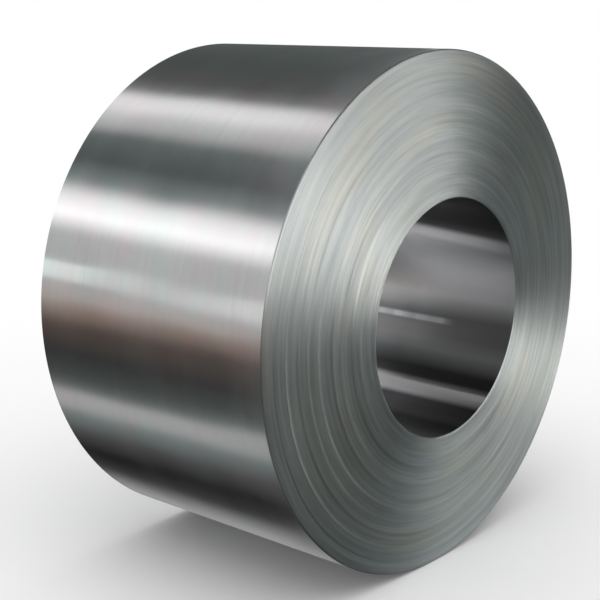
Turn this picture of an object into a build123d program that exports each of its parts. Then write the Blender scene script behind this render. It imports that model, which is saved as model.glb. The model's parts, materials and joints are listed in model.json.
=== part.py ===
"""A coil of titanium foil, lying on its side.

The foil is wound upon itself into one tight roll with an open bore, so the coil is one solid turned
about its own axis. Every turn is as wide as the foil, and the turns wandered a little sideways while
they were wound: groups of turns stand in or out by the same amount at both ends, and the inner turns
have telescoped towards the front end. That section is what the turning profile holds.

Frame: +Z is up and the coil's axis lies along Y. The origin is on the floor, below the middle of the
coil, and the front end of the coil faces -Y. All sizes are in millimetres.
"""

import os

from build123d import *

# Driving dimensions
foil_width = 378.0
bore_diameter = 305.0
outer_diameter = 665.0
telescope = 18.0  # how far the innermost turn stands ahead of the outermost one
wander = 0.8  # the furthest that a group of turns strays from the even slope between those two

bore_radius = bore_diameter / 2
outer_radius = outer_diameter / 2
build_up = outer_radius - bore_radius  # the wound thickness of all the turns together

# How the groups of turns stray, from the bore to the rim. Each pair is a share of the build-up,
# counted from the bore, and a share of the wander, where a positive one strays to the rear.
wander_shares = [
    (0.000, 0.00),
    (0.030, 0.10),
    (0.045, 0.75),
    (0.130, 0.60),
    (0.145, 0.20),
    (0.215, 0.35),
    (0.230, 1.00),
    (0.300, 0.85),
    (0.330, 0.15),
    (0.400, 0.00),
    (0.415, 0.45),
    (0.510, 0.30),
    (0.525, -0.30),
    (0.600, -0.10),
    (0.620, -0.60),
    (0.700, -0.45),
    (0.715, 0.05),
    (0.790, -0.15),
    (0.805, -0.80),
    (0.890, -0.65),
    (0.905, -0.15),
    (0.965, -0.30),
    (1.000, 0.00),
]


def turn_centres():
    """Radius and sideways place of the middle of the foil, turn by turn, from the bore to the rim."""
    centres = []
    for build_share, wander_share in wander_shares:
        radius = bore_radius + build_share * build_up
        slope = (build_share - 1 / 2) * telescope
        centres.append((radius, slope + wander_share * wander))
    return centres


def coil_section():
    """The face that is turned: both ends follow the same turns, one foil width apart."""
    half_width = foil_width / 2
    front_end = [(radius, centre - half_width) for radius, centre in turn_centres()]
    rear_end = [(radius, centre + half_width) for radius, centre in turn_centres()]
    outline = front_end + rear_end[::-1]
    return make_face(Polyline(*outline, close=True))


def foil_coil():
    """The whole coil, turned about its axis and laid on the floor."""
    turned = revolve(coil_section(), axis=Axis.Y, revolution_arc=360)
    return Pos(0, 0, outer_radius) * turned


os.makedirs("parts", exist_ok=True)
coil = foil_coil()
coil.label = "foil_coil"
export_step(coil, "parts/foil_coil.step")
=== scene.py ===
"""The looks of a coil of bright titanium foil, lying on its side.

The coil is one length of foil wound upon itself, so it is one piece here: a turned mesh whose ends carry
every bundle of turns, whose outer surface ends at the foil's loose edge, and whose bore shows where the
foil starts. All sizes are in metres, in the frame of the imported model: the axis lies along Y, the front
end faces -Y and the floor is at zero.
"""

import json
import math
import random

import bmesh
import bpy
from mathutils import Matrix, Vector


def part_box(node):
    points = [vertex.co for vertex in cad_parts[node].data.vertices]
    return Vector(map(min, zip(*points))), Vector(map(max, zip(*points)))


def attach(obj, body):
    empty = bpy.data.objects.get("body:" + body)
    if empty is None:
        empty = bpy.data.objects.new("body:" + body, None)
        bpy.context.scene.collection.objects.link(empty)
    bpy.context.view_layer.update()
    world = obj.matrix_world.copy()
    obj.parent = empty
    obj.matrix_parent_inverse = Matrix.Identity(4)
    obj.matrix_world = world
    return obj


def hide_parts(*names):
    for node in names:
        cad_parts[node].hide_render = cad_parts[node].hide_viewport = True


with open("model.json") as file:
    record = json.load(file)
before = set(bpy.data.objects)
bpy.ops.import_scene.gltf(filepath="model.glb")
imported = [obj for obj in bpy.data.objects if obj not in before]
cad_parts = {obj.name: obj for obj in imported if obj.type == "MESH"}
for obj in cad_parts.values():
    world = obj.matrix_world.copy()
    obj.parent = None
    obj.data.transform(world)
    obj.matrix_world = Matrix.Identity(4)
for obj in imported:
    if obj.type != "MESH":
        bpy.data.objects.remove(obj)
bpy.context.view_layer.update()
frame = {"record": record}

MM = 0.001
FULL_TURN = 2 * math.pi

# The coil's own sizes, read from the frame
NODE = "foil_coil"
low_corner, high_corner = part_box(NODE)
bore = frame["record"]["mounts"][0]["dims"]
outer_radius = (high_corner.z - low_corner.z) / 2
bore_radius = bore["r_mm"] * MM
foil_width = bore["length_mm"] * MM
axis_height = low_corner.z + outer_radius

# How the turns stand sideways
telescope = 18 * MM
wander = 0.8 * MM
bundle_lift = 0.07 * MM
turn_lift = 0.025 * MM

# How the groups of turns stray, from the bore to the rim. Each pair is a share of the build-up, counted
# from the bore, and a share of the wander, where a positive one strays to the rear.
wander_shares = [
    (0.000, 0.00),
    (0.030, 0.10),
    (0.045, 0.75),
    (0.130, 0.60),
    (0.145, 0.20),
    (0.215, 0.35),
    (0.230, 1.00),
    (0.300, 0.85),
    (0.330, 0.15),
    (0.400, 0.00),
    (0.415, 0.45),
    (0.510, 0.30),
    (0.525, -0.30),
    (0.600, -0.10),
    (0.620, -0.60),
    (0.700, -0.45),
    (0.715, 0.05),
    (0.790, -0.15),
    (0.805, -0.80),
    (0.890, -0.65),
    (0.905, -0.15),
    (0.965, -0.30),
    (1.000, 0.00),
]

# The foil's two ends: the loose edge outside and the start in the bore
loose_edge_angle = math.radians(-52)
loose_edge_lift = 0.45 * MM
loose_edge_reach = math.radians(11)
foil_start_angle = math.radians(150)
foil_start_lift = 0.5 * MM
foil_start_reach = math.radians(20)
edge_gap = 0.35 * MM
lift_falloff = 60

# How finely the mesh is cut, and the rounding of its four rims
end_steps = 150
wall_steps = 18
bore_steps = 12
around_steps = 256
rim_round = 1.1 * MM

# Where the closed section passes from the front end to the outer surface, the rear end and the bore
outer_from = end_steps
outer_to = end_steps + wall_steps
rear_to = outer_to + end_steps

# The seeds of the two ends' relief, and the fewest and the most turns in a bundle
front_seed = 11
rear_seed = 29
bundle_turns = (2, 8)
fade_range = (0.2, 0.7)

# The camera, fitted to the outlines of the coil in the photograph
camera_place = Vector((-1.3236, -1.1007, 0.7114))
camera_direction = Vector((0.73555, 0.64149, -0.21782))
camera_lens_mm = 78.12
camera_sensor_mm = 36
camera_far_clip = 200


def group_offset(share):
    """How far sideways the group of turns at this share of the build-up stands."""
    before = wander_shares[0]
    for after in wander_shares[1:]:
        if share <= after[0]:
            part = (share - before[0]) / (after[0] - before[0])
            return (before[1] + part * (after[1] - before[1])) * wander
        before = after
    return wander_shares[-1][1] * wander


class RingRelief:
    """The fine relief of one wound end: bundles and single turns that stand in or out."""

    def __init__(self, seed):
        draw = random.Random(seed)
        self.rings = []
        bundle = 0
        left = 0
        for _ in range(end_steps + 1):
            if left == 0:
                left = draw.randint(*bundle_turns)
                bundle = draw.uniform(-1, 1)
            left -= 1
            self.rings.append({
                "bundle": bundle,
                "turn": draw.uniform(-1, 1),
                "fade": draw.uniform(*fade_range),
                "phase": draw.uniform(0, FULL_TURN),
                "second_phase": draw.uniform(0, FULL_TURN),
            })

    def offset(self, index, angle):
        """How far this ring stands out. The single turns swell and fade as they go round."""
        ring = self.rings[index]
        swell = 1 + ring["fade"] * math.cos(angle + ring["phase"])
        ripple = math.cos(2 * angle + ring["second_phase"])
        return ring["bundle"] * bundle_lift + ring["turn"] * turn_lift * (swell + ripple)


def lift_near(angle, edge_angle, reach, lift):
    """How far the foil springs off its last turn at this angle: the more, the nearer to its edge."""
    back = (edge_angle - angle) % FULL_TURN
    if back >= reach:
        return 0.0
    part = 1 - back / reach
    return lift * part * part


def cut_angles():
    """The angles of the mesh's cuts. The first stands just past the loose edge, and the last at it."""
    angles = [loose_edge_angle + edge_gap / outer_radius]
    for step in range(1, around_steps + 1):
        angles.append(loose_edge_angle + FULL_TURN * step / around_steps)
    return angles


def end_profile(angle, relief, side):
    """One end at this angle, from the bore to the rim: radii, each with a place along the axis."""
    start_lift = lift_near(angle, foil_start_angle, foil_start_reach, foil_start_lift)
    edge_lift = lift_near(angle, loose_edge_angle, loose_edge_reach, loose_edge_lift)
    profile = []
    for index in range(end_steps + 1):
        share = index / end_steps
        radius = bore_radius + share * (outer_radius - bore_radius)
        # Only the turns next to the foil's two ends move with them
        radius += edge_lift * share ** lift_falloff - start_lift * (1 - share) ** lift_falloff
        slope = (share - 1 / 2) * telescope
        y = slope + group_offset(share) + side * foil_width / 2 + relief.offset(index, angle)
        if index in (0, end_steps):
            y -= side * rim_round
        profile.append((radius, min(max(y, low_corner.y), high_corner.y)))
    return profile


def wall_profile(start, end, steps):
    """The points between two rims, evenly spaced along the axis."""
    profile = []
    for step in range(1, steps):
        profile.append((start[0], start[1] + step / steps * (end[1] - start[1])))
    return profile


def coil_section(angle, front_relief, rear_relief):
    """The closed section at this angle: front end, outer surface, rear end and bore."""
    front = end_profile(angle, front_relief, -1)
    rear = end_profile(angle, rear_relief, 1)
    outer_wall = wall_profile(front[-1], rear[-1], wall_steps)
    bore_wall = wall_profile(rear[0], front[0], bore_steps)
    return front + outer_wall + rear[::-1] + bore_wall


# The order of the coil's materials
ROLLED_SIDE = 0
WOUND_ENDS = 1
INNER_SIDE = 2


def surface_at(index):
    """Which material the faces at this place of the section have."""
    if outer_from <= index < outer_to:
        return ROLLED_SIDE
    if index < rear_to:
        return WOUND_ENDS
    return INNER_SIDE


def build_coil():
    """The whole coil as one closed mesh."""
    front_relief = RingRelief(front_seed)
    rear_relief = RingRelief(rear_seed)
    shape = bmesh.new()
    columns = []
    for angle in cut_angles():
        column = []
        for radius, y in coil_section(angle, front_relief, rear_relief):
            x = radius * math.cos(angle)
            z = axis_height + radius * math.sin(angle)
            column.append(shape.verts.new((x, y, z)))
        columns.append(column)

    neighbours = list(zip(columns, columns[1:] + columns[:1]))
    for column, beside in neighbours:
        for index, vertex in enumerate(column):
            after = (index + 1) % len(column)
            face = shape.faces.new((vertex, column[after], beside[after], beside[index]))
            face.smooth = True
            face.material_index = surface_at(index)
    bmesh.ops.recalc_face_normals(shape, faces=shape.faces)

    # The four rims and the foil's loose edge stay sharp
    for column, beside in neighbours:
        for index in (0, outer_from, outer_to, rear_to):
            shape.edges.get((column[index], beside[index])).smooth = False
    for column in (columns[0], columns[-1]):
        for index in range(outer_from, outer_to):
            shape.edges.get((column[index], column[index + 1])).smooth = False

    mesh = bpy.data.meshes.new("foil_coil_wound")
    shape.to_mesh(mesh)
    shape.free()
    wound = bpy.data.objects.new("foil_coil_wound", mesh)
    bpy.context.scene.collection.objects.link(wound)
    return wound


class Nodes:
    """A small helper that writes the node tree of a material or world as named steps."""

    def __init__(self, holder):
        holder.use_nodes = True
        self.holder = holder
        self.tree = holder.node_tree
        self.tree.nodes.clear()

    def add(self, kind, **settings):
        node = self.tree.nodes.new(kind)
        for key, value in settings.items():
            setattr(node, key, value)
        return node

    def plug(self, source, target):
        """Sets an input to a number or a colour, or links it to another node's output."""
        if isinstance(source, (int, float)):
            target.default_value = source
        elif isinstance(source, tuple):
            target.default_value = (*source, 1)
        else:
            self.tree.links.new(source, target)

    def math(self, operation, *values):
        node = self.add("ShaderNodeMath", operation=operation)
        for value, socket in zip(values, node.inputs):
            self.plug(value, socket)
        return node.outputs[0]

    def plus(self, first, second):
        return self.math("ADD", first, second)

    def minus(self, first, second):
        return self.math("SUBTRACT", first, second)

    def times(self, first, second):
        return self.math("MULTIPLY", first, second)

    def weigh(self, first, first_weight, second, second_weight):
        """The sum of two values, each times its weight."""
        return self.plus(self.times(first, first_weight), self.times(second, second_weight))

    def vector(self, x, y, z):
        node = self.add("ShaderNodeCombineXYZ")
        for value, socket in zip((x, y, z), node.inputs):
            self.plug(value, socket)
        return node.outputs[0]

    def noise(self, place, detail, roughness=0.5):
        node = self.add("ShaderNodeTexNoise")
        self.plug(place, node.inputs["Vector"])
        node.inputs["Scale"].default_value = 1
        node.inputs["Detail"].default_value = detail
        node.inputs["Roughness"].default_value = roughness
        return node.outputs["Fac"]

    def map_range(self, value, source_range, target_range, **settings):
        """Stretches a value from the first range to the second, and keeps it within the second."""
        node = self.add("ShaderNodeMapRange", **settings)
        self.plug(value, node.inputs["Value"])
        names = ("From Min", "From Max", "To Min", "To Max")
        for name, end in zip(names, (*source_range, *target_range)):
            node.inputs[name].default_value = end
        return node.outputs["Result"]

    def spread(self, value, low, high):
        """Stretches a noise value, which lies mostly between 0.3 and 0.7, to run from low to high."""
        return self.map_range(value, (0.3, 0.7), (low, high))

    def fade(self, value, full_until, gone_from):
        """One up to the first value, and softly down to zero at the second."""
        return self.map_range(value, (full_until, gone_from), (1, 0), interpolation_type="SMOOTHSTEP")

    def colour_between(self, factor, first, second):
        node = self.add("ShaderNodeMix", data_type="RGBA")
        self.plug(factor, node.inputs["Factor"])
        self.plug(first, node.inputs["A"])
        self.plug(second, node.inputs["B"])
        return node.outputs["Result"]

    def turn_between(self, x, z):
        """The angle about the coil's axis, in radians: 0 is +X and a quarter turn is up."""
        return self.math("ARCTAN2", z, x)

    def turn_share(self, turn):
        """An angle as a share of the full turn, from 0 at minus half a turn to 1 at plus half a turn."""
        return self.plus(self.math("DIVIDE", turn, FULL_TURN), 1 / 2)

    def ramp(self, share, stops):
        """Colours round the coil's axis. Each stop is an angle from -180 to 180 degrees and a colour."""
        node = self.add("ShaderNodeValToRGB")
        self.plug(share, node.inputs["Fac"])
        marks = node.color_ramp.elements
        for mark, stop in ((marks[0], stops[0]), (marks[1], stops[-1])):
            mark.position = stop[0] / 360 + 1 / 2
            mark.color = (*stop[1], 1)
        for angle, colour in stops[1:-1]:
            mark = marks.new(angle / 360 + 1 / 2)
            mark.color = (*colour, 1)
        return node.outputs["Color"]

    def split_place(self):
        """A point's x, y and z on its own object."""
        split = self.add("ShaderNodeSeparateXYZ")
        self.plug(self.add("ShaderNodeTexCoord").outputs["Object"], split.inputs[0])
        return split.outputs["X"], split.outputs["Y"], split.outputs["Z"]

    def find_coil_places(self):
        """Where a point lies on the coil: along its axis, out from it, and as a direction round it."""
        x, self.y, height = self.split_place()
        z = self.minus(height, axis_height)
        self.radius = self.math("SQRT", self.plus(self.times(x, x), self.times(z, z)))
        self.round_x = self.math("DIVIDE", x, self.radius)
        self.round_z = self.math("DIVIDE", z, self.radius)

    def streaks(self, across, per_metre, around, detail, roughness=0.5):
        """A noise that is fine across and drawn out round the coil."""
        side = self.times(self.round_x, around)
        rise = self.times(self.round_z, around)
        return self.noise(self.vector(side, self.times(across, per_metre), rise), detail, roughness)

    def glow(self, colour, strength=1.0):
        node = self.add("ShaderNodeEmission")
        self.plug(colour, node.inputs["Color"])
        self.plug(strength, node.inputs["Strength"])
        return node.outputs["Emission"]

    def mix(self, factor, first, second):
        node = self.add("ShaderNodeMixShader")
        for source, socket in zip((factor, first, second), node.inputs):
            self.plug(source, socket)
        return node.outputs["Shader"]

    def show(self, surface, output="ShaderNodeOutputMaterial"):
        """Ends the tree with this surface and returns what holds it."""
        self.plug(surface, self.add(output).inputs["Surface"])
        return self.holder

    def metal(self, base_colour, roughness, anisotropy, height_mm=None):
        """Bare metal whose reflections are drawn out across the rolling direction."""
        shader = self.add("ShaderNodeBsdfPrincipled")
        tangent = self.add("ShaderNodeTangent", direction_type="RADIAL", axis="Y")
        self.plug(base_colour, shader.inputs["Base Color"])
        self.plug(roughness, shader.inputs["Roughness"])
        self.plug(tangent.outputs["Tangent"], shader.inputs["Tangent"])
        shader.inputs["Metallic"].default_value = 1
        shader.inputs["Anisotropic"].default_value = anisotropy
        shader.inputs["Anisotropic Rotation"].default_value = 1 / 4
        if height_mm is not None:
            bump = self.add("ShaderNodeBump")
            bump.inputs["Distance"].default_value = MM
            self.plug(height_mm, bump.inputs["Height"])
            self.plug(bump.outputs["Normal"], shader.inputs["Normal"])
        return self.show(shader.outputs["BSDF"])


# The metal's colours. Each pair runs from the darker to the paler places.
PINKISH_FOIL = ((0.605, 0.56, 0.57), (0.70, 0.65, 0.66))
GREENISH_FOIL = ((0.555, 0.60, 0.585), (0.64, 0.69, 0.675))
COOL_EDGES = ((0.45, 0.485, 0.49), (0.68, 0.705, 0.71))
WARM_EDGES = ((0.47, 0.48, 0.455), (0.70, 0.70, 0.665))
# The colour of a thin dark line along the rims of the ends
DARK_RIM_LINE = (0.38, 0.39, 0.39)
# The colour of a painted glint: a short pale streak in the bore
PAINTED_GLINT = (0.70, 0.72, 0.73)


def rolled_surface_material():
    """The foil's bright rolled side, on the outer surface."""
    wave_height_mm = 1.2
    grain_height_mm = 0.002
    nodes = Nodes(bpy.data.materials.new("bright_rolled_foil"))
    nodes.find_coil_places()
    # Fine grain, drawn out round the coil
    grain = nodes.streaks(nodes.y, per_metre=900, around=2.2, detail=3, roughness=0.6)
    # Broad bands left by the rolls
    band = nodes.streaks(nodes.y, per_metre=60, around=0.8, detail=2)
    # Clouds where the surface is a little duller
    cloud = nodes.streaks(nodes.y, per_metre=11, around=2.4, detail=4)
    # Faint pinkish and greenish patches, the colours of a very thin oxide
    oxide = nodes.streaks(nodes.y, per_metre=24, around=6, detail=4, roughness=0.6)
    # The foil isn't quite even, so its reflections waver
    wave = nodes.streaks(nodes.y, per_metre=5, around=3, detail=1)
    tone = nodes.spread(nodes.weigh(grain, 0.5, cloud, 0.5), 0, 1)
    pinkish = nodes.colour_between(tone, *PINKISH_FOIL)
    greenish = nodes.colour_between(tone, *GREENISH_FOIL)
    colour = nodes.colour_between(nodes.spread(oxide, 0, 1), pinkish, greenish)
    roughness = nodes.plus(nodes.spread(band, 0.14, 0.155), nodes.spread(cloud, -0.015, 0.03))
    height = nodes.weigh(wave, wave_height_mm, grain, grain_height_mm)
    return nodes.metal(colour, roughness, anisotropy=0.55, height_mm=height)


# How pale the foil is round the bore, by the angle in degrees: 0 is +X and 90 is up. The lengthwise
# stripes, the dark top and bottom and the two narrow pale marks follow the photograph's bore. They are
# painted reflections and painted shade in the foil's colour.
near_painted_light_tones = [
    (-180, 0.92),
    (-105, 0.88),
    (-90, 0.30),
]
side_painted_light_tones = [
    (-54, 0.97),
    (-50.5, 0.12),
    (-45, 0.10),
    (-40, 0.25),
    (-34, 0.38),
    (-26, 0.21),
    (-15, 0.20),
    (-9, 0.43),
    (-4, 0.74),
    (4, 0.86),
    (14, 0.75),
]
upper_painted_highlight_tones = [
    (28.5, 0.87),
    (33, 0.87),
    (36, 0.20),
]
top_painted_light_tones = [
    (70, 0.11),
    (84, 0.30),
    (100, 0.88),
    (180, 0.92),
]
front_painted_light_tones = [
    *near_painted_light_tones,
    (-82, 0.16),
    (-77, 0.24),
    (-71, 0.13),
    (-64, 0.10),
    (-61, 0.88),
    *side_painted_light_tones,
    (20, 0.74),
    (26, 0.64),
    *upper_painted_highlight_tones,
    (42, 0.12),
    (50, 0.10),
    *top_painted_light_tones,
]
# The same in the rear half, where two of the dark stripes are paler or narrower
rear_painted_light_tones = [
    *near_painted_light_tones,
    (-82, 0.22),
    (-77, 0.60),
    (-73, 0.85),
    (-62, 0.90),
    *side_painted_light_tones,
    (26, 0.66),
    *upper_painted_highlight_tones,
    (38, 0.26),
    (56, 0.26),
    (60, 0.12),
    *top_painted_light_tones,
]
# The tones are a touch bluish: the blue part over the other two
tone_blue = 1.01
# From the middle to the front, how far each half's tones reach
rear_tones_until = 15 * MM
front_tones_from = 45 * MM
# The upper painted highlight runs askew: its turn per metre, about the place where it has its stated
# angle. Only the tones above the second of these angles turn with it, and those above the first do so
# fully.
painted_highlight_skew = 0.7
painted_highlight_middle = -98 * MM
skew_full_above = math.radians(24)
skew_none_below = math.radians(12)
# A short painted glint, a pale streak from the rear to the middle of the bore's front half
painted_glint_angle = math.radians(-18)
painted_glint_full_within = math.radians(0.64)
painted_glint_gone_beyond = math.radians(2.24)
painted_glint_full_until = 75 * MM
painted_glint_gone_from = 108 * MM
painted_glint_patches_per_metre = 40
# The palest tones are also duller
dull_from_tone = 0.94
plain_until_tone = 0.87
dull_roughness = 0.25


def stripe_stops(tones):
    """The stops of a colour ramp for these tones."""
    return [(angle, (tone, tone, tone * tone_blue)) for angle, tone in tones]


def bore_material():
    """The foil's satin inner side in the bore, with lengthwise stripes of painted reflection and painted
    shade.
    """
    nodes = Nodes(bpy.data.materials.new("inner_foil_side"))
    nodes.find_coil_places()
    turn = nodes.turn_between(nodes.round_x, nodes.round_z)
    share = nodes.turn_share(turn)
    forward = nodes.times(nodes.y, -1)
    # The stripes, painted reflections and painted shade
    upper = nodes.fade(turn, skew_full_above, skew_none_below)
    past_middle = nodes.minus(nodes.y, painted_highlight_middle)
    skew = nodes.times(nodes.times(past_middle, -painted_highlight_skew / FULL_TURN), upper)
    front_stripes = nodes.ramp(nodes.plus(share, skew), stripe_stops(front_painted_light_tones))
    rear_stripes = nodes.ramp(share, stripe_stops(rear_painted_light_tones))
    in_rear = nodes.fade(forward, rear_tones_until, front_tones_from)
    stripes = nodes.colour_between(in_rear, front_stripes, rear_stripes)
    # The painted glint, which is patchy along its length
    from_painted_glint = nodes.math("ABSOLUTE", nodes.minus(turn, painted_glint_angle))
    across = nodes.fade(from_painted_glint, painted_glint_full_within, painted_glint_gone_beyond)
    lengthwise = nodes.fade(forward, painted_glint_full_until, painted_glint_gone_from)
    place = nodes.vector(0, nodes.times(nodes.y, painted_glint_patches_per_metre), 0)
    patchy = nodes.spread(nodes.noise(place, detail=3), 0.35, 0.85)
    painted_glint = nodes.times(nodes.times(across, lengthwise), patchy)
    tone = nodes.colour_between(painted_glint, stripes, PAINTED_GLINT)
    dull = nodes.fade(nodes.times(tone, -1), -dull_from_tone, -plain_until_tone)
    satin = nodes.streaks(nodes.y, per_metre=60, around=1.2, detail=2)
    satin_roughness = nodes.spread(satin, 0.275, 0.295)
    roughness = nodes.plus(satin_roughness, nodes.times(dull, dull_roughness))
    return nodes.metal(tone, roughness, anisotropy=0.3)


def wound_end_material():
    """The edges of all the turns, side by side: fine rings that catch the light in fans."""
    fine_height_mm = 0.0175
    ring_height_mm = 0.0325
    rim_line_from = outer_radius - 1.7 * MM
    rim_line_full = outer_radius - 0.8 * MM
    nodes = Nodes(bpy.data.materials.new("wound_foil_edges"))
    nodes.find_coil_places()
    # Single turns, thin bundles, and wider ones that fade as they go round
    fine = nodes.streaks(nodes.radius, per_metre=1400, around=1.3, detail=3, roughness=0.6)
    ring = nodes.streaks(nodes.radius, per_metre=330, around=1.2, detail=4, roughness=0.65)
    arc = nodes.streaks(nodes.radius, per_metre=150, around=1.8, detail=3, roughness=0.6)
    # Broad zones of slightly different colour
    zone = nodes.streaks(nodes.radius, per_metre=30, around=1.8, detail=2)
    bundles = nodes.weigh(ring, 0.7, fine, 0.3)
    tone = nodes.plus(nodes.spread(bundles, -0.1, 0.8), nodes.spread(arc, -0.25, 0.5))
    cool = nodes.colour_between(tone, *COOL_EDGES)
    warm = nodes.colour_between(tone, *WARM_EDGES)
    rings = nodes.colour_between(nodes.spread(zone, -0.7, 1), cool, warm)
    # The end turns darker towards the rim, to a thin dark line in its outermost 0.8 mm
    inside = nodes.fade(nodes.radius, rim_line_from, rim_line_full)
    colour = nodes.colour_between(inside, DARK_RIM_LINE, rings)
    roughness = nodes.spread(ring, 0.37, 0.45)
    height = nodes.weigh(fine, fine_height_mm, ring, ring_height_mm)
    return nodes.metal(colour, roughness, anisotropy=0.9, height_mm=height)


# The tints of the studio's light
WHITE = (1.0, 1.0, 1.0)
SLATE = (0.91, 1.05, 1.04)
GREEN = (0.92, 1.06, 1.03)
WARM = (1.08, 0.98, 0.94)
BROWN = (1.24, 0.94, 0.82)
LILAC = (0.99, 0.99, 1.03)

# Brightness of the studio behind the coil, by the angle about its axis in degrees: 0 is +X and 90 is up.
# The bands are set so that the outer surface mirrors the photograph's bright and dark bands.
rear_bands = [
    (-180, 0.54, WHITE),
    (-173, 0.55, WARM),
    (-168, 0.30, BROWN),
    (-160, 0.09, BROWN),
    (-146, 0.045, WHITE),
    (-135, 0.085, GREEN),
    (-129, 0.17, GREEN),
    (-124, 0.55, WHITE),
    (-117, 0.52, WHITE),
    (-112, 0.27, SLATE),
    (-100, 0.09, WHITE),
    (-86, 0.015, WHITE),
    (-71, 0.05, WHITE),
    (-60, 0.26, WHITE),
    (-50, 0.38, WHITE),
    (-34, 0.36, WHITE),
    (-20, 0.10, WHITE),
    (10, 0.11, GREEN),
    (50, 0.09, GREEN),
    (66, 0.11, WHITE),
    (75, 0.23, WHITE),
    (81, 1.10, WHITE),
    (87, 1.18, WHITE),
    (94, 0.78, WHITE),
    (101, 0.56, WHITE),
    (107, 0.17, SLATE),
    (122, 0.10, SLATE),
    (133, 0.28, SLATE),
    (140, 1.25, WHITE),
    (149, 1.75, WHITE),
    (158, 0.64, WHITE),
    (180, 0.56, WHITE),
]
# The same for the part of the studio that shows by way of the bore's front half
bore_bands = [
    (-180, 0.50, WHITE),
    (-165, 0.26, WHITE),
    (-100, 0.22, WHITE),
    (-20, 0.24, LILAC),
    (10, 0.48, LILAC),
    (45, 0.54, LILAC),
    (70, 0.44, LILAC),
    (100, 0.50, LILAC),
    (128, 0.52, LILAC),
    (145, 0.85, LILAC),
    (160, 1.20, LILAC),
    (172, 1.50, LILAC),
    (180, 0.60, WHITE),
]
# And by way of its rear half
deep_bands = [
    (-180, 0.22, LILAC),
    (-130, 0.20, LILAC),
    (-110, 0.12, WHITE),
    (-84, 0.02, WHITE),
    (-60, 0.24, WHITE),
    (-50, 0.36, WHITE),
    (-38, 0.36, WHITE),
    (-24, 0.12, WHITE),
    (10, 0.11, GREEN),
    (52, 0.11, GREEN),
    (75, 0.40, LILAC),
    (110, 0.35, LILAC),
    (145, 0.25, LILAC),
    (165, 0.17, LILAC),
    (180, 0.22, LILAC),
]
# The same for the studio in front of the coil
front_bands = [
    (-180, 0.42, WHITE),
    (-172, 0.28, WARM),
    (-160, 0.04, WHITE),
    (-138, 0.05, GREEN),
    (-128, 0.40, WHITE),
    (-118, 0.36, WHITE),
    (-106, 0.09, GREEN),
    (-60, 0.07, GREEN),
    (25, 0.07, GREEN),
    (60, 0.11, WHITE),
    (100, 0.12, WHITE),
    (110, 0.70, WHITE),
    (120, 0.75, WHITE),
    (130, 0.22, SLATE),
    (146, 0.16, SLATE),
    (154, 1.15, WHITE),
    (163, 1.15, WHITE),
    (171, 0.42, WHITE),
    (180, 0.42, WHITE),
]

# The tents: their size, where one ends along the axis and the next begins, and how far the rear tent's
# bands shift to +X for each metre to the rear of the place where they have their stated angles
tent_radius = 12.0
tent_reach = 60.0
tent_steps = 120
bore_view_to = 8.3
deep_view_to = 8.95
rear_slant = 0.3
slant_middle = 11.5
patch_radius = tent_radius - 0.3

# The upright planes that the cards stand in
front_plane = -2.9
side_plane = 2.9
rear_plane = 3.0
low_plane = front_plane + 0.1


def tent_point(radius, angle, y):
    """A place by its distance from the coil's axis and its angle about that axis in degrees."""
    turn = math.radians(angle)
    return radius * math.cos(turn), y, radius * math.sin(turn)


def patch(*places):
    """The corners of a patch just inside the tent, each by its angle and its place along the axis."""
    return [tent_point(patch_radius, angle, y) for angle, y in places]


def upright(x_from, x_to, y, z_from, z_to):
    """The corners of an upright rectangle that faces along the axis."""
    return [(x_from, y, z_from), (x_to, y, z_from), (x_to, y, z_to), (x_from, y, z_to)]


def in_front(*places):
    """The corners of a card in the front plane, each given by its x and z."""
    return [(x, front_plane, z) for x, z in places]


# The patches on the rear tents, measured from the coil's axis: name, corners, brightness and tint
left_patch_corners = patch((171, 13.2), (180, 13.6), (181, 17), (171, 17))
right_patch_corners = patch((171, 8.6), (184, 8.6), (179, 11.2), (173, 10.6))
patches = [
    ("studio_left_patch", left_patch_corners, 1.5, (0.96, 1.03, 1.01)),
    ("studio_right_patch", right_patch_corners, 1.05, (0.97, 1.02, 1.01)),
]
# The cards that stand free, measured from the floor, in the same way
side_softbox_corners = [
    (side_plane, front_plane, 0.5),
    (side_plane, -2.0, 0.5),
    (side_plane, -2.0, 1.7),
    (side_plane, front_plane, 1.7),
]
under_card_corners = in_front((4.1, -3.2), (5.7, -3.2), (6.1, -2.3), (4.1, -2.3))
right_card_corners = in_front((4.9, -0.8), (5.9, -0.8), (5.7, 0.3), (4.7, -0.1))
bounce_card_corners = in_front((5.41, -1.41), (5.46, -1.27), (8.28, -1.98), (7.97, -2.77))
cards = [
    ("studio_front_softbox", upright(-1.1, side_plane, front_plane, 0.36, 1.6), 2.0, (1.0, 1.0, 0.97)),
    ("studio_side_softbox", side_softbox_corners, 2.05, (1.0, 1.0, 0.99)),
    ("studio_low_softbox", upright(-0.6, 1.8, low_plane, 0.34, 0.7), 3.2, (1.0, 1.0, 0.98)),
    ("studio_under_card", under_card_corners, 2.3, (0.96, 1.03, 1.0)),
    ("studio_right_card", right_card_corners, 1.3, (0.95, 1.03, 1.0)),
    ("studio_rear_softbox", upright(-1.2, 1.2, rear_plane, 0.7, 1.6), 2.6, WHITE),
    ("studio_bounce_card", bounce_card_corners, 10.5, (1.0, 1.0, 0.92)),
]


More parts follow.
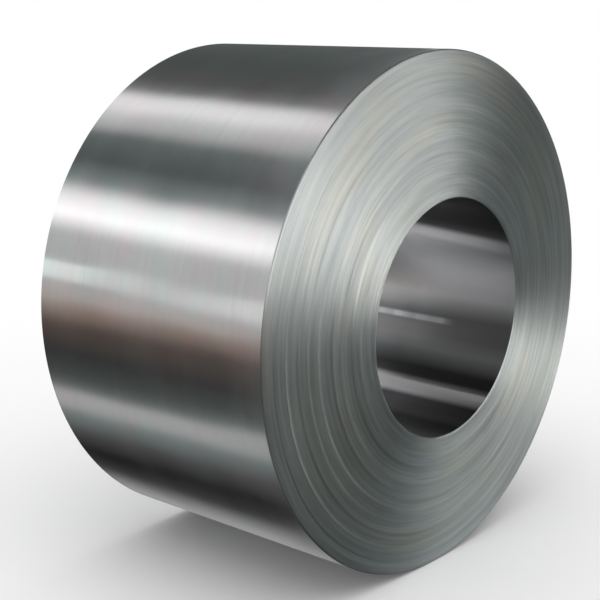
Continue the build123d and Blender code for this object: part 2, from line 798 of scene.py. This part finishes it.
def tent_material(name, bands, slant):
    """The glow of a tent, whose brightness runs round the coil's axis as the bands say."""
    nodes = Nodes(bpy.data.materials.new(name))
    x, y, z = nodes.split_place()
    shift = nodes.times(nodes.minus(y, slant_middle), slant)
    turn = nodes.turn_between(nodes.minus(x, shift), z)
    stops = [(angle, [part * brightness for part in tint]) for angle, brightness, tint in bands]
    glow = nodes.glow(nodes.ramp(nodes.turn_share(turn), stops))
    # Only the inner side glows. From outside one sees through it.
    inner_side = nodes.add("ShaderNodeNewGeometry").outputs["Backfacing"]
    clear = nodes.add("ShaderNodeBsdfTransparent").outputs["BSDF"]
    return nodes.show(nodes.mix(inner_side, clear, glow))


def add_stage_piece(name, points, faces, material, height=0.0):
    """A plain mesh of the studio, raised by the height."""
    mesh = bpy.data.meshes.new(name)
    mesh.from_pydata(points, [], faces)
    mesh.materials.append(material)
    piece = bpy.data.objects.new(name, mesh)
    piece.location = (0, 0, height)
    bpy.context.scene.collection.objects.link(piece)
    return piece


def only_in_reflections(piece):
    """The metal mirrors the piece, and nothing else sees it or is lit by it."""
    piece.visible_camera = False
    piece.visible_diffuse = False
    piece.visible_transmission = False
    piece.visible_volume_scatter = False
    piece.visible_shadow = False


def build_tent(name, y_from, y_to, bands, slant=0.0):
    """A round tent along the coil's axis, open at both ends."""
    points = []
    faces = []
    for step in range(tent_steps):
        angle = 360 * step / tent_steps
        points.append(tent_point(tent_radius, angle, y_from))
        points.append(tent_point(tent_radius, angle, y_to))
        here = 2 * step
        there = 2 * ((step + 1) % tent_steps)
        faces.append((here, here + 1, there + 1, there))
    material = tent_material(name, bands, slant)
    only_in_reflections(add_stage_piece(name, points, faces, material, axis_height))


def build_card(name, corners, brightness, tint, height=0.0):
    """A flat glowing card with the given corners."""
    nodes = Nodes(bpy.data.materials.new(name))
    material = nodes.show(nodes.glow(tint, brightness))
    face = tuple(range(len(corners)))
    only_in_reflections(add_stage_piece(name, corners, [face], material, height))


def build_studio():
    """The tents and cards that the bright metal mirrors."""
    build_tent("studio_rear_tent", deep_view_to, tent_reach, rear_bands, rear_slant)
    build_tent("studio_deep_tent", bore_view_to, deep_view_to, deep_bands)
    build_tent("studio_bore_tent", 0.0, bore_view_to, bore_bands)
    build_tent("studio_front_tent", -tent_reach, 0.0, front_bands)
    for name, corners, brightness, tint in patches:
        build_card(name, corners, brightness, tint, axis_height)
    for name, corners, brightness, tint in cards:
        build_card(name, corners, brightness, tint)


# The floor: its size, its colour, and where it begins and ends fading into the white background
floor_reach = 60.0
FLOOR_PAINT = (0.94, 0.94, 0.94)
floor_plain_until = 0.5
floor_white_from = 1.6


def build_floor():
    """A plain white floor that shows the coil's shadow and fades into the white background."""
    nodes = Nodes(bpy.data.materials.new("pale_floor"))
    paint = nodes.add("ShaderNodeBsdfDiffuse")
    nodes.plug(FLOOR_PAINT, paint.inputs["Color"])
    distance = nodes.add("ShaderNodeVectorMath", operation="LENGTH")
    nodes.plug(nodes.add("ShaderNodeTexCoord").outputs["Object"], distance.inputs[0])
    plain = nodes.fade(distance.outputs["Value"], floor_plain_until, floor_white_from)
    material = nodes.show(nodes.mix(plain, nodes.glow(WHITE), paint.outputs["BSDF"]))
    corners = [
        (-floor_reach, -floor_reach, 0),
        (floor_reach, -floor_reach, 0),
        (floor_reach, floor_reach, 0),
        (-floor_reach, floor_reach, 0),
    ]
    floor = add_stage_piece("studio_floor", corners, [(0, 1, 2, 3)], material)
    floor.visible_glossy = False


# The sun's softness, strength and tilt, and the strength at which the world lights the coil
sun_spread = math.radians(60)
sun_strength = 1.1
sun_tilt = (math.radians(12), math.radians(-14), 0)
world_light = 0.68


def build_light():
    """One broad soft sun from above, and an even world that is white wherever it shows."""
    lamp = bpy.data.lights.new("studio_soft_sun", "SUN")
    lamp.angle = sun_spread
    lamp.energy = sun_strength
    sun = bpy.data.objects.new("studio_soft_sun", lamp)
    sun.rotation_euler = sun_tilt
    sun.visible_glossy = False
    bpy.context.scene.collection.objects.link(sun)

    world = bpy.data.worlds.new("studio_world")
    bpy.context.scene.world = world
    nodes = Nodes(world)
    ray = nodes.add("ShaderNodeLightPath").outputs
    shows = nodes.math("MAXIMUM", ray["Is Camera Ray"], ray["Is Glossy Ray"])
    shows = nodes.math("MAXIMUM", shows, ray["Is Transmission Ray"])
    background = nodes.add("ShaderNodeBackground")
    nodes.plug(WHITE, background.inputs["Color"])
    nodes.plug(nodes.map_range(shows, (0, 1), (world_light, 1)), background.inputs["Strength"])
    nodes.show(background.outputs["Background"], "ShaderNodeOutputWorld")


def build_camera():
    """The photograph's view of the coil."""
    lens = bpy.data.cameras.new("photo_camera")
    lens.sensor_width = camera_sensor_mm
    lens.lens = camera_lens_mm
    lens.clip_end = camera_far_clip
    camera = bpy.data.objects.new("photo_camera", lens)
    camera.location = camera_place
    camera.rotation_euler = camera_direction.to_track_quat("-Z", "Y").to_euler()
    bpy.context.scene.collection.objects.link(camera)
    bpy.context.scene.camera = camera


coil = build_coil()
# Appended in the order of ROLLED_SIDE, WOUND_ENDS and INNER_SIDE
coil.data.materials.append(rolled_surface_material())
coil.data.materials.append(wound_end_material())
coil.data.materials.append(bore_material())
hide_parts(NODE)
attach(coil, "root")

build_studio()
build_floor()
build_light()
build_camera()
bpy.context.scene.view_settings.view_transform = "Standard"
